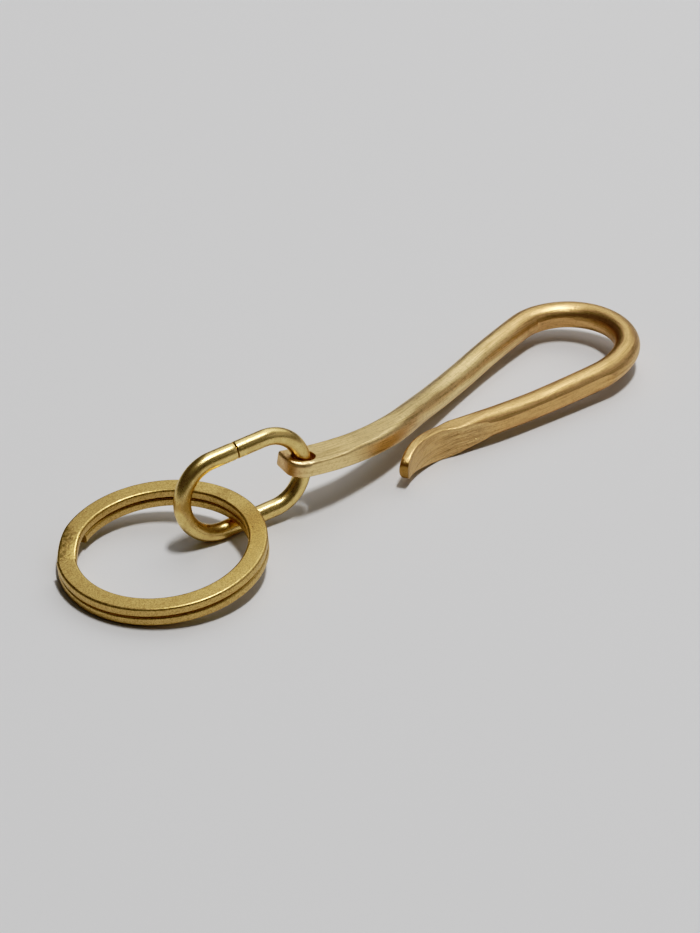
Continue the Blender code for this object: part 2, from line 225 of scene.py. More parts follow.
class HookSizes(bpy.types.PropertyGroup):
    rod_diameter: FloatProperty(
        name="Rod Diameter", description="Diameter of the rod", default=0.00396, min=0.002, unit="LENGTH"
    )
    bend_rod_diameter: FloatProperty(
        name="Bend Rod Diameter", description="Rod diameter where it is bent", default=0.00387, unit="LENGTH"
    )
    eye_width: FloatProperty(
        name="Eye Width", description="Width of the flattened eye end", default=0.0048, unit="LENGTH"
    )
    eye_thickness: FloatProperty(
        name="Eye Thickness", description="Thickness of the flattened eye end", default=0.0022, unit="LENGTH"
    )
    hole_play: FloatProperty(
        name="Hole Play", description="Room round the link's wire in the hole", default=0.00037, unit="LENGTH"
    )
    claw_thickness: FloatProperty(
        name="Claw Thickness", description="Thickness of the flattened claw", default=0.0014, unit="LENGTH"
    )


class LinkSizes(bpy.types.PropertyGroup):
    length: FloatProperty(name="Length", description="Outside length", default=0.0211, unit="LENGTH")
    width: FloatProperty(name="Width", description="Outside width", default=0.0131, unit="LENGTH")
    wire_diameter: FloatProperty(
        name="Wire Diameter", description="Diameter of the link's wire", default=0.0024, unit="LENGTH"
    )


class RingSizes(bpy.types.PropertyGroup):
    outer_diameter: FloatProperty(
        name="Outer Diameter", description="Outside diameter of the split ring", default=0.0280, unit="LENGTH"
    )
    wire_width: FloatProperty(
        name="Wire Width", description="Width of the flat wire across the ring", default=0.0026, unit="LENGTH"
    )
    wire_thickness: FloatProperty(
        name="Wire Thickness", description="Thickness of one turn of the wire", default=0.00133, unit="LENGTH"
    )
    edge_radius: FloatProperty(
        name="Edge Radius", description="Rounding of the wire's four edges", default=0.00036, unit="LENGTH"
    )
    turn_gap: FloatProperty(
        name="Turn Gap", description="Gap between the two turns", default=0.00008, unit="LENGTH"
    )
    ramp_angle: FloatProperty(
        name="Ramp Angle", description="Turn of the climb", default=math.radians(32.0), subtype="ANGLE"
    )
    end_gap_angle: FloatProperty(
        name="End Gap", description="Gap at each wire end", default=math.radians(1.0), subtype="ANGLE"
    )


def srgb(code):
    """Linear colour, with alpha, from a six-digit sRGB code."""
    shares = [int(code[i : i + 2], 16) / 255.0 for i in (0, 2, 4)]
    linear = [s / 12.92 if s <= 0.04045 else ((s + 0.055) / 1.055) ** 2.4 for s in shares]
    return (*linear, 1.0)


def colour_property(name, description, code):
    return FloatVectorProperty(
        name=name, description=description, default=srgb(code), subtype="COLOR", size=4, min=0.0, max=1.0
    )


class Finishes(bpy.types.PropertyGroup):
    hook_colour: colour_property("Hook Brass", "Colour of the brushed hook", "F0D5A2")
    # also painted over the flat sides from the bend on: partly their own tint, partly a painted reflection of
    # the shaded floor and the brass beside them
    filed_tint_and_reflection: colour_property("Filed Brass", "Warmer colour of the freshly filed faces", "E7C08B")
    link_colour: colour_property("Link Brass", "Colour of the link's polished wire", "EACF92")
    ring_colour: colour_property("Ring Brass", "Colour of the ring's matte wire", "D8BC80")
    heated_colour: colour_property("Heated Brass", "Reddish colour of the eye's end", "B9744A")
    stain_colour: colour_property("Stain", "Colour of tarnish in hollows", "8C6A33")
    hook_roughness: FloatProperty(
        name="Hook Roughness", description="Roughness of the brushed hook", default=0.34, subtype="FACTOR"
    )
    link_roughness: FloatProperty(
        name="Link Roughness", description="Roughness of the polished link", default=0.29, subtype="FACTOR"
    )
    ring_roughness: FloatProperty(
        name="Ring Roughness", description="Roughness of the matte ring", default=0.37, subtype="FACTOR"
    )


class StudioSettings(bpy.types.PropertyGroup):
    floor_colour: colour_property("Floor", "Colour of the plain floor", "E4E4E5")
    room_colour: colour_property("Room", "Warm colour of the dim room all round", "FFFCF6")
    key_strength: FloatProperty(
        name="Key Strength", description="Brightness of the softbox overhead", default=91.0, min=0.0
    )
    top_strength: FloatProperty(
        name="Top Strength", description="Brightness of the panel above the wall", default=0.90, min=0.0
    )
    wall_strength: FloatProperty(
        name="Wall Strength", description="Brightness of the wall behind the pieces", default=1.22, min=0.0
    )
    side_strength: FloatProperty(
        name="Side Strength", description="Brightness of the wall on the right", default=0.40, min=0.0
    )
    room_strength: FloatProperty(
        name="Room Strength", description="Brightness of the dim room all round", default=0.095, min=0.0
    )
    lens: FloatProperty(name="Lens", description="Focal length of the camera", default=155.19, unit="CAMERA")


def smooth(share):
    share = min(max(share, 0.0), 1.0)
    return share * share * (3.0 - 2.0 * share)


def along(distance, stations):
    """The value at a distance along the rod, eased between (distance, value) stations."""
    if distance <= stations[0][0]:
        return stations[0][1]
    for (start, first), (end, second) in zip(stations, stations[1:]):
        if distance <= end:
            return first + (second - first) * smooth((distance - start) / (end - start))
    return stations[-1][1]


def heading_vector(heading):
    return Vector((math.cos(math.radians(heading)), math.sin(math.radians(heading)), 0.0))


def joint(name):
    """Place and axis of one of the model's joints."""
    found = next(j for j in frame["joints"] if j["name"] == name)
    return Vector(found["pos_m"]), Vector(found["axis"]).normalized()


class LinkPlace:
    """Where the oval link stands: its long axis, its short axis and the centres of its end arcs."""

    def __init__(self, sizes):
        self.wire_radius = sizes.wire_diameter / 2
        self.arc_radius = (sizes.width - sizes.wire_diameter) / 2
        self.half_side = (sizes.length - sizes.width) / 2
        pitch = math.radians(LINK_PITCH)
        lean = math.radians(LINK_LEAN)
        level = heading_vector(LINK_HEADING)
        across = level.cross(Vector((0.0, 0.0, 1.0)))
        self.long_axis = level * math.cos(pitch) + Vector((0.0, 0.0, math.sin(pitch)))
        self.short_axis = across.cross(self.long_axis) * math.cos(lean) - across * math.sin(lean)
        self.normal = self.long_axis.cross(self.short_axis)
        self.hook_arc, _ = joint("link_swing")
        self.middle = self.hook_arc - self.long_axis * self.half_side
        self.ring_arc = self.middle - self.long_axis * self.half_side
        turn = math.radians(EYE_ON_LINK_ANGLE)
        reach = self.long_axis * math.cos(turn) + self.short_axis * math.sin(turn)
        self.eye = self.hook_arc + reach * self.arc_radius

    def wire_length(self):
        """Length of the wire's middle line, once round the oval."""
        return 4 * self.half_side + math.tau * self.arc_radius

    def floor_height(self):
        """Height of the table under the link's lowest point."""
        reach = self.arc_radius * math.hypot(self.long_axis.z, self.short_axis.z)
        return self.ring_arc.z - reach - self.wire_radius


def hook_arcs():
    """(length, turn) of each stretch of the hook's middle line, from the eye's end to the tip."""
    bend = (BEND_RADIUS * math.radians(abs(BEND_TURN)), BEND_TURN)
    return (EYE_SWEEP, SHANK, bend, BEND_EASE, LEG, CLAW)


def hook_plan(distance):
    """The middle line's place and heading seen from above, with the eye's end at zero."""
    place = Vector((0.0, 0.0, 0.0))
    heading = EYE_HEADING
    for length, turn in hook_arcs():
        step = min(distance, length)
        turned = turn * step / length
        half_turn = math.radians(turned) / 2
        chord = step * math.sin(half_turn) / half_turn if half_turn else step
        place = place + heading_vector(heading + turned / 2) * chord
        heading += turned
        distance -= step
    return place, heading


class HookShape:
    """Cross-section sizes along the hook, each a list of (distance, size) stations."""

    def __init__(self, sizes):
        marks = [0.0]
        for length, _ in hook_arcs():
            marks.append(marks[-1] + length)
        self.marks = marks
        _, _, shank_end, bend_end, ease_end, leg_end, tip = marks
        rod = sizes.rod_diameter / 2
        bend = sizes.bend_rod_diameter / 2
        flat = 2 * EYE_END_DISTANCE
        claw_start = leg_end - CLAW_START
        claw_face = leg_end - CLAW_FACE_LEAD
        self.shank_end = shank_end
        self.leg_end = leg_end
        self.tip = tip
        self.fall_start = tip - CLAW_FALL_LENGTH
        round_end = [(FLAT_END_DISTANCE, rod), (shank_end, rod)]
        round_end += [(shank_end + BEND_RADIUS, bend), (bend_end, bend)]
        self.half_width = [(flat, sizes.eye_width / 2), (NECK_DISTANCE, NECK_WIDTH / 2)]
        self.half_width += round_end + [(ease_end, rod), (claw_start, rod)]
        claw_places = (leg_end, self.fall_start, tip)
        claw_sizes = (CLAW_ROOT_THICKNESS, sizes.claw_thickness, CLAW_TIP_THICKNESS)
        self.half_width += [(place, size / 2 + CLAW_EDGE) for place, size in zip(claw_places, claw_sizes)]
        half_height = [(flat, sizes.eye_thickness / 2), (NECK_DISTANCE, NECK_THICKNESS / 2)]
        half_height += round_end + [(ease_end, rod)]
        swell = [(leg_end - CLAW_SWELL_START, rod), (leg_end - CLAW_SWELL_END, CLAW_RISE)]
        root = [(leg_end - CLAW_ROOT_END, CLAW_ROOT_DROP)]
        self.above = half_height + swell
        self.below = half_height + root + [(self.fall_start, CLAW_DROP), (tip, CLAW_TIP_DROP)]
        self.corner = [(flat, EYE_CORNER), (NECK_DISTANCE, NECK_CORNER), (EDGES_ROUND_DISTANCE, rod)]
        self.corner += [(claw_start, rod), (self.fall_start, 2 * CLAW_EDGE)]
        self.lip = [(EYE_LIP_LENGTH, EYE_LIP_CORNER), (EYE_LIP_LENGTH + EYE_LIP_FADE, 0.0)]
        face_start = shank_end + BEND_FACE_START
        self.face_ends = [face_start, face_start + FACE_END_STEP]
        self.face_ends += [claw_face + place for place, _ in CLAW_FACE_START[:2]]
        self.inner_cut = [
            (face_start, 0.0),
            (face_start + FACE_END_STEP, BEND_FACE_DEPTH + FACE_END_GROOVE),
            (face_start + 4 * FACE_END_STEP, BEND_FACE_DEPTH),
            (face_start + BEND_FACE_LENGTH / 2, BEND_FACE_DEPTH),
            (face_start + BEND_FACE_LENGTH, 0.0),
        ]
        self.roll = [
            (shank_end - BEND_FACE_LENGTH, 0.0),
            (face_start, BEND_FACE_ROLL),
            (face_start + BEND_FACE_LENGTH, BEND_FACE_ROLL),
            (bend_end, 0.0),
        ]
        leg_face_start = ease_end - LEG_FACE_LEAD
        self.outer_cut = [
            (leg_face_start, 0.0),
            (leg_face_start + LEG_FACE_RUN_IN, LEG_FACE_DEPTH),
            (claw_face - 2 * CLAW_FACE_LEAD, LEG_FACE_DEPTH),
            *((claw_face + place, LEG_FACE_END_DEPTH + more) for place, more in CLAW_FACE_START),
            (self.fall_start, CLAW_EDGE),
        ]
        # the corner swells by as much, so that the face itself runs on at the same level
        self.outer_swell = [(claw_face + place, more) for place, more in CLAW_FACE_START]
        self.outer_swell.append((self.fall_start, 0.0))
        self.claw_lift = [(leg_end, 0.0), (tip, CLAW_TIP_LIFT)]

    def distances(self):
        """Where the sections stand: even steps, and closer ones at the nose, the filed faces and the tip."""
        found = []
        for (length, turn), start in zip(hook_arcs(), self.marks):
            steps = max(math.ceil(length / HOOK_STEP), math.ceil(abs(turn) / HOOK_TURN_STEP))
            found += [start + length * i / steps for i in range(steps)]
        close = list(self.face_ends)
        for i in range(HOOK_END_STEPS + 1):
            quarter = math.pi / 2 * i / HOOK_END_STEPS
            for radius in (EYE_NOSE_EDGE, EYE_NOSE_CORNER, EYE_NOSE_OPEN_CORNER):
                close.append(radius * (1.0 - math.cos(quarter)))
            for radius in (CLAW_FALL_LENGTH, CLAW_TIP_CORNER):
                close.append(self.tip - radius * (1.0 - math.sin(quarter)))
        found = [d for d in found if min(abs(d - other) for other in close) > HOOK_STEP / 3]
        return sorted({round(d, 6) for d in found + close})

    @staticmethod
    def rounding(distance, radius):
        """How far a rounded corner draws in at a distance from the end."""
        left = min(max(radius - distance, 0.0), radius)
        return radius - math.sqrt(radius**2 - left**2)

    def rise(self, distance):
        """Height above the middle line, falling like a quarter of an oval at the claw's end."""
        fall = max(distance - self.fall_start, 0.0) / CLAW_FALL_LENGTH
        drop = (CLAW_RISE - CLAW_TIP_RISE) * (1.0 - math.sqrt(max(1.0 - fall * fall, 0.0)))
        return along(distance, self.above) - drop

    def section(self, distance):
        """Offsets (right, up) round a rounded rectangle from its bottom on, cut flat where it is filed."""
        edge = self.rounding(distance, EYE_NOSE_EDGE)
        full_width = along(distance, self.half_width)
        right_width = full_width - self.rounding(distance, EYE_NOSE_OPEN_CORNER)
        left_width = full_width + along(distance, self.outer_swell) - self.rounding(distance, EYE_NOSE_CORNER)
        above = self.rise(distance) - edge
        below = along(distance, self.below) - edge - self.rounding(self.tip - distance, CLAW_TIP_CORNER)
        largest = min((left_width + right_width) / 2, (above + below) / 2)
        corner = min(along(distance, self.corner), largest)
        right_cut = along(distance, self.inner_cut)
        left_cut = along(distance, self.outer_cut)
        half_step = math.pi / 4 / CORNER_POINTS
        roll = math.radians(along(distance, self.roll))
        points = []
        for side, up, cut in ((1, 1, right_cut), (-1, 1, left_cut), (-1, -1, left_cut), (1, -1, right_cut)):
            # the corner above the hole, on the open side, is worn rounder than the others
            worn = side == up == 1
            radius = min(max(corner, along(distance, self.lip)), largest) if worn else corner
            # each corner's points start where the arc leaves the cut face
            start = max(math.acos(max(1.0 - cut / radius, 0.0)), half_step)
            quarter = []
            for i in range(CORNER_POINTS):
                angle = start + (math.pi / 2 - half_step - start) * i / (CORNER_POINTS - 1)
                across = (right_width if side > 0 else left_width) - radius + radius * math.cos(angle)
                upward = (above if up > 0 else below) - radius + radius * math.sin(angle)
                quarter.append((side * across, up * upward))
            points += quarter if side == up else reversed(quarter)
        points = points[3 * CORNER_POINTS :] + points[: 3 * CORNER_POINTS]
        cosine, sine = math.cos(roll), math.sin(roll)
        return [(x * cosine - z * sine, x * sine + z * cosine) for x, z in points]


def hook_line(shape, eye, floor_height):
    """The hook's middle line through the eye, and the direction of the eye's hole."""
    distances = shape.distances()
    plan = [hook_plan(distance) for distance in distances]
    eye_place, eye_heading = hook_plan(EYE_END_DISTANCE)
    slope = math.tan(math.radians(HOOK_PITCH))
    level = [slope * (p - eye_place).x + along(d, shape.claw_lift) for d, (p, _) in zip(distances, plan)]
    undersides = [z - along(d, shape.below) for d, z in zip(distances, level) if d > EYE_LIFT_START]
    base = floor_height - min(undersides)
    eye_slope = (eye.z - base) / (EYE_LIFT_START - EYE_END_DISTANCE - EYE_LIFT_EASE / 2)
    line = []
    for distance, (place, heading), height in zip(distances, plan, level):
        before = max(EYE_LIFT_START - distance, 0.0)
        eased = before - EYE_LIFT_EASE / 2
        if before < EYE_LIFT_EASE:
            eased = before * before / (2 * EYE_LIFT_EASE)
        spot = place - eye_place
        centre = Vector((eye.x + spot.x, eye.y + spot.y, base + height + eye_slope * eased))
        line.append((distance, centre, heading))
    ahead = heading_vector(eye_heading)
    fall = slope * ahead.x - eye_slope
    return line, (Vector((0.0, 0.0, 1.0)) - ahead * fall).normalized()


def hook_sections(shape, line):
    """Rings of points along the hook, and for each point how far round its section it lies."""
    rings = []
    rounds = []
    for i, (distance, centre, heading) in enumerate(line):
        tangent = (line[min(i + 1, len(line) - 1)][1] - line[max(i - 1, 0)][1]).normalized()
        right = heading_vector(heading).cross(Vector((0.0, 0.0, 1.0)))
        up = right.cross(tangent)
        offsets = shape.section(distance)
        ring = []
        walked = [0.0]
        for j, (across, upward) in enumerate(offsets):
            # hammering leaves the rod very slightly uneven
            spot = (distance / WAVE_LENGTH, across / WAVE_WIDTH, upward / WAVE_WIDTH)
            wave = 1.0 + WAVE_DEPTH * noise.noise(spot)
            ring.append(centre + right * across * wave + up * upward * wave)
            after = offsets[(j + 1) % len(offsets)]
            walked.append(walked[-1] + math.hypot(after[0] - across, after[1] - upward))
        rings.append(ring)
        rounds.append(walked)
    return rings, rounds


def deselect_all():
    if bpy.context.object and bpy.context.object.mode != "OBJECT":
        bpy.ops.object.mode_set(mode="OBJECT")
    bpy.ops.object.select_all(action="DESELECT")


def new_piece(name):
    """Names the primitive just added and moves its place into its mesh."""
    piece = bpy.context.object
    piece.name = name
    piece.data.name = name
    bpy.ops.object.transform_apply(location=True, rotation=True, scale=True)
    return piece


def edit_all():
    bpy.ops.object.mode_set(mode="EDIT")
    bpy.ops.mesh.select_all(action="SELECT")


def extrude_by(step):
    bpy.ops.mesh.extrude_region_move(TRANSFORM_OT_translate={"value": step})


def close_and_smooth(piece, sharp_angle):
    """Merges the seam, fills open ends, turns the faces outwards and smooths all but the sharp edges."""
    edit_all()
    bpy.ops.mesh.remove_doubles(threshold=SEAM_TOLERANCE)
    bpy.ops.mesh.select_all(action="SELECT")
    bpy.ops.mesh.fill_holes(sides=0)
    bpy.ops.mesh.select_all(action="SELECT")
    bpy.ops.mesh.normals_make_consistent(inside=False)
    bpy.ops.object.mode_set(mode="OBJECT")
    open_edges = count_open_edges(piece.data)
    if open_edges:
        raise RuntimeError(f"{piece.name} has {open_edges} open edges")
    bpy.ops.object.shade_smooth_by_angle(angle=math.radians(sharp_angle))


def count_open_edges(mesh):
    uses = [0] * len(mesh.edges)
    for polygon in mesh.polygons:
        for loop in polygon.loop_indices:
            uses[mesh.loops[loop].edge_index] += 1
    return sum(1 for count in uses if count != 2)


def weigh_normals(piece):
    """Lets the large faces set the shading, so that flats look flat right up to their rounded edges."""
    weighting = piece.modifiers.new("weighted_normals", "WEIGHTED_NORMAL")
    weighting.keep_sharp = True
    bpy.ops.object.modifier_apply(modifier=weighting.name)


def finish_piece(piece, material, node, body):
    """Gives the piece its material and hangs it on the model in the place of its plain solid."""
    piece.data.materials.clear()
    piece.data.materials.append(material)
    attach(piece, body)
    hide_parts(node)


def add_node(tree, kind, output, inputs=None, **settings):
    """One output of a new node; each input is given a value, or a socket to join it to."""
    node = tree.nodes.new(kind)
    for name, value in settings.items():
        setattr(node, name, value)
    for key, value in (inputs or {}).items():
        if isinstance(value, bpy.types.NodeSocket):
            tree.links.new(value, node.inputs[key])
        else:
            node.inputs[key].default_value = value
    return node.outputs[output]


def new_metal(name):
    """A metal material and its shader."""
    material = bpy.data.materials.new(name)
    material.use_nodes = True
    tree = material.node_tree
    shader = tree.nodes["Principled BSDF"]
    shader.inputs["Metallic"].default_value = 1.0
    return material, tree, shader


def join_finish(tree, shader, colour, roughness, normal):
    for name, socket in (("Base Color", colour), ("Roughness", roughness), ("Normal", normal)):
        tree.links.new(socket, shader.inputs[name])


def grain(tree, size_mm, detail=2.0, roughness=0.5):
    """Even noise in the solid metal, with grains of about the given size."""
    place = add_node(tree, "ShaderNodeTexCoord", "Object")
    inputs = {"Vector": place, "Scale": 1000.0 / size_mm, "Detail": detail, "Roughness": roughness}
    return add_node(tree, "ShaderNodeTexNoise", "Fac", inputs)


def wrap_mm(tree, length_mm, round_mm):
    """The piece's own map in millimetres: X along the wire or rod, Y round it."""
    wrap = add_node(tree, "ShaderNodeUVMap", "UV", uv_map="wrap")
    inputs = {0: wrap, 1: (length_mm, round_mm, 0.0)}
    return add_node(tree, "ShaderNodeVectorMath", "Vector", inputs, operation="MULTIPLY")


def streaks(tree, place_mm, length_mm, width_mm, detail=2.0):
    """Noise drawn out along the piece, as brushing and filing leave it."""
    inputs = {0: place_mm, 1: (1.0 / length_mm, 1.0 / width_mm, 0.0)}
    drawn = add_node(tree, "ShaderNodeVectorMath", "Vector", inputs, operation="MULTIPLY")
    inputs = {"Vector": drawn, "Scale": 1.0, "Detail": detail, "Roughness": 0.55}
    return add_node(tree, "ShaderNodeTexNoise", "Fac", inputs, noise_dimensions="2D")


def ramp(low, high, value, top):
    """Map Range inputs that run from 0 at a value's low end to the top at its high end."""
    return {"Value": value, "From Min": low, "From Max": high, "To Max": top}


def painted(tree, below, above, low, high, value, share):
    """One colour painted over another, not at all at a value's low end, and to the share at its high end."""
    amount = add_node(tree, "ShaderNodeMapRange", "Result", ramp(low, high, value, share))
    # a colour mix has its colours in inputs 6 and 7, and its result in output 2
    return add_node(tree, "ShaderNodeMix", 2, {0: amount, 6: below, 7: above}, data_type="RGBA")


def uneven(tree, level, *patterns):
    """A value that varies about a level by (pattern, amount) pairs, where a pattern varies about a half."""
    total = level - sum(amount for _, amount in patterns) / 2
    for pattern, amount in patterns:
        inputs = {0: pattern, 1: amount, 2: total}
        total = add_node(tree, "ShaderNodeMath", "Value", inputs, operation="MULTIPLY_ADD")
    return total


def relief(tree, *layers):
    """Bumps laid over one another, the lowest first, each a height and its depth in millimetres."""
    normal = None
    for height, depth_mm in layers:
        inputs = {"Height": height, "Strength": 1.0, "Distance": depth_mm / 1000.0}
        if normal:
            inputs["Normal"] = normal
        normal = add_node(tree, "ShaderNodeBump", "Normal", inputs)
    return normal


def hook_brass(finish, length_mm, round_mm, shank_end_mm, leg_end_mm):
    """Forged rod brass, filed and then brushed by hand along its length.

    Lengthwise scratches spread the highlight across the rod, and the file's strokes leave broad streaks, dull
    and shiny. The claw keeps coarse file marks, and the leg and claw are a little redder. Their flat sides
    are painted redder still, partly for fresh filing and partly as a painted reflection of the shaded floor
    and the brass beside them. The real scratches and pits are finer, and these are as coarse as they need to
    be to show.
    """
    material, tree, shader = new_metal("forged_brushed_brass")
    place = wrap_mm(tree, length_mm, round_mm)
    distance_mm = add_node(tree, "ShaderNodeSeparateXYZ", "X", {0: place})
    filed = add_node(tree, "ShaderNodeUVMap", "UV", uv_map="filed")
    filed = add_node(tree, "ShaderNodeSeparateXYZ", "X", {0: filed})
    claw_start = ramp(leg_end_mm - 7.0, leg_end_mm - 3.0, distance_mm, filed)
    claw_face = add_node(tree, "ShaderNodeMapRange", "Result", claw_start)
    scratches = streaks(tree, place, length_mm=5.0, width_mm=0.14, detail=3.0)
    strokes = streaks(tree, place, length_mm=11.0, width_mm=0.55)
    file_marks = streaks(tree, place, length_mm=9.0, width_mm=0.19)
    cloud = grain(tree, 2.6, 3.0)
    pits = grain(tree, 0.45, 5.0, 0.78)

    colour = finish.hook_colour
    warm_tint_and_reflection = finish.filed_tint_and_reflection
    stain = finish.stain_colour
    colours = (
        (warm_tint_and_reflection, shank_end_mm - 14.0, shank_end_mm, distance_mm, 0.85),
        # the flat sides from the bend on are painted redder: partly the tint of fresh filing, partly a
        # painted reflection of the shaded floor and the brass beside them
        (warm_tint_and_reflection, shank_end_mm - 1.0, shank_end_mm + 1.0, distance_mm, filed),
        # the bend and the leg are duller from handling
        (stain, shank_end_mm, shank_end_mm + 8.0, distance_mm, 0.14),
        (finish.hook_colour, 0.0, 1.0, claw_face, 0.45),
        (stain, 0.50, 0.74, strokes, 0.34),
        (stain, 0.52, 0.72, scratches, 0.40),
        (stain, 0.50, 0.72, pits, 0.46),
        # the eye's end has been heated, and the colour is painted darker over the last 0.7 mm before the
        # claw's tip
        (finish.heated_colour, 2.4, 0.6, distance_mm, 0.28),
        (stain, length_mm - 0.7, length_mm - 0.2, distance_mm, 0.60),
    )
    for above, low, high, value, share in colours:
        colour = painted(tree, colour, above, low, high, value, share)

    roughness = uneven(tree, finish.hook_roughness, (scratches, 0.16), (cloud, 0.14))
    grooves = add_node(tree, "ShaderNodeMapRange", "Result", ramp(0.36, 0.60, file_marks, claw_face))
    layers = ((strokes, 0.010), (grooves, 0.040), (scratches, 0.030), (cloud, 0.020), (pits, 0.040))
    join_finish(tree, shader, colour, roughness, relief(tree, *layers))
    return material


def link_brass(finish, length_mm, round_mm):
    """Drawn wire, tumbled to a satin shine: a strong soft highlight, faint drawing lines and tiny dings.

    The real lines are finer, and these are as coarse as they need to be to show.
    """
    material, tree, shader = new_metal("drawn_tumbled_brass")
    place = wrap_mm(tree, length_mm, round_mm)
    lines = streaks(tree, place, length_mm=3.0, width_mm=0.10, detail=3.0)
    cloud = grain(tree, 1.4, 3.0)
    dings = grain(tree, 0.40, 5.0, 0.78)
    colour = painted(tree, finish.link_colour, finish.stain_colour, 0.45, 0.75, cloud, 0.25)
    colour = painted(tree, colour, finish.stain_colour, 0.50, 0.72, dings, 0.45)
    roughness = uneven(tree, finish.link_roughness, (lines, 0.12), (cloud, 0.12))
    normal = relief(tree, (lines, 0.008), (dings, 0.018), (cloud, 0.008))
    join_finish(tree, shader, colour, roughness, normal)
    return material


def ring_brass(finish):
    """Flat drawn wire left matte by barrel finishing: an even salt-and-pepper grain that blurs reflections.

    The real grain is finer, and this one is as coarse as it needs to be to show.
    """
    material, tree, shader = new_metal("flat_wire_matte_brass")
    fine = grain(tree, 0.20, 2.0, 0.60)
    coarse = grain(tree, 0.42)
    cloud = grain(tree, 3.0)
    colour = painted(tree, finish.ring_colour, finish.stain_colour, 0.44, 0.62, fine, 0.50)
    colour = painted(tree, colour, finish.stain_colour, 0.40, 0.75, cloud, 0.12)
    roughness = uneven(tree, finish.ring_roughness, (coarse, 0.45))
    join_finish(tree, shader, colour, roughness, relief(tree, (coarse, 0.006), (fine, 0.014)))
    return material


class OBJECT_OT_make_hook(bpy.types.Operator):
    """Makes the forged hook: a grid rolled into the rod's changing sections, drilled through the eye"""

    bl_idname = "object.make_key_hook"
    bl_label = "Make Hook"

    def execute(self, context):
        sizes = context.scene.key_hook_sizes
        link = LinkPlace(context.scene.key_link_sizes)
        shape = HookShape(sizes)
        line, hole_axis = hook_line(shape, link.eye, link.floor_height())
        rings, rounds = hook_sections(shape, line)
        longest_round = max(walked[-1] for walked in rounds)
        columns = len(rings) - 1
        rows = 4 * CORNER_POINTS
        deselect_all()
        bpy.ops.mesh.primitive_grid_add(x_subdivisions=columns, y_subdivisions=rows, size=1.0)
        hook = new_piece("forged_hook")
        mesh = hook.data
        # each vertex's column is its section's number, and its row its place round the section
        spots = [(round((v.co.x + 0.5) * columns), round((v.co.y + 0.5) * rows)) for v in mesh.vertices]
        mesh.uv_layers.active.name = "wrap"
        for corner, mapped in zip(mesh.loops, mesh.uv_layers["wrap"].data):
            station, place = spots[corner.vertex_index]
            mapped.uv = (line[station][0] / shape.tip, rounds[station][place] / longest_round)
        self.mark_filed_faces(mesh, spots)
        for vertex, (station, place) in zip(mesh.vertices, spots):
            vertex.co = rings[station][place % rows]
        close_and_smooth(hook, HOOK_SHARP_ANGLE)
        self.drill_eye(hook, link, hole_axis, sizes)
        weigh_normals(hook)
        lengths = (shape.tip, longest_round, shape.shank_end, shape.leg_end)
        material = hook_brass(context.scene.key_hook_finishes, *(1000.0 * length for length in lengths))
        finish_piece(hook, material, "hook", "hook")
        return {"FINISHED"}

    def mark_filed_faces(self, mesh, spots):
        """A second map that is 1 across the flat sides, where the file has cut, and 0 on the rounded rod."""
        filed = mesh.uv_layers.new(name="filed")
        for polygon in mesh.polygons:
            lowest = min(spots[mesh.loops[index].vertex_index][1] for index in polygon.loop_indices)
            on_side = lowest in (CORNER_POINTS - 1, 3 * CORNER_POINTS - 1)
            for index in polygon.loop_indices:
                filed.data[index].uv = (1.0 if on_side else 0.0, 0.0)

    def drill_eye(self, hook, link, axis, sizes):
        """Cuts the hole with a drill that flares out at both faces, so that its rims are rounded."""
        radius = link.wire_radius + sizes.hole_play
        half = sizes.eye_thickness / 2
        flare = []
        for i in range(HOLE_RIM_STEPS + 1):
            turn = math.pi / 2 * i / HOLE_RIM_STEPS
            height = half + DRILL_REACH - EYE_HOLE_RIM * (1.0 - math.sin(turn))
            flare.append((height, radius + EYE_HOLE_RIM * (1.0 - math.cos(turn))))
        profile = [(-height, size) for height, size in reversed(flare)] + flare
        deselect_all()
        start, size = profile[0]
        bpy.ops.mesh.primitive_circle_add(
            vertices=HOLE_SIDES,
            radius=size,
            fill_type="NGON",
            location=link.eye + axis * start,
            rotation=axis.to_track_quat("Z", "Y").to_euler(),
        )
        drill = new_piece("eye_drill")
        edit_all()
        for height, width in profile[1:]:
            extrude_by(axis * (height - start))
            centre = link.eye + axis * height
            share = width / size
            bpy.ops.transform.resize(value=(share, share, share), center_override=centre)
            start, size = height, width
        bpy.ops.object.mode_set(mode="OBJECT")
        close_and_smooth(drill, DRILL_SHARP_ANGLE)
        deselect_all()
        hook.select_set(True)
        bpy.context.view_layer.objects.active = hook
        cut = hook.modifiers.new("eye_hole", "BOOLEAN")
        cut.operation = "DIFFERENCE"
        cut.solver = "EXACT"
        cut.object = drill
        bpy.ops.object.modifier_apply(modifier=cut.name)
        bpy.data.objects.remove(drill, do_unlink=True)
        bpy.ops.object.shade_smooth_by_angle(angle=math.radians(HOOK_SHARP_ANGLE))


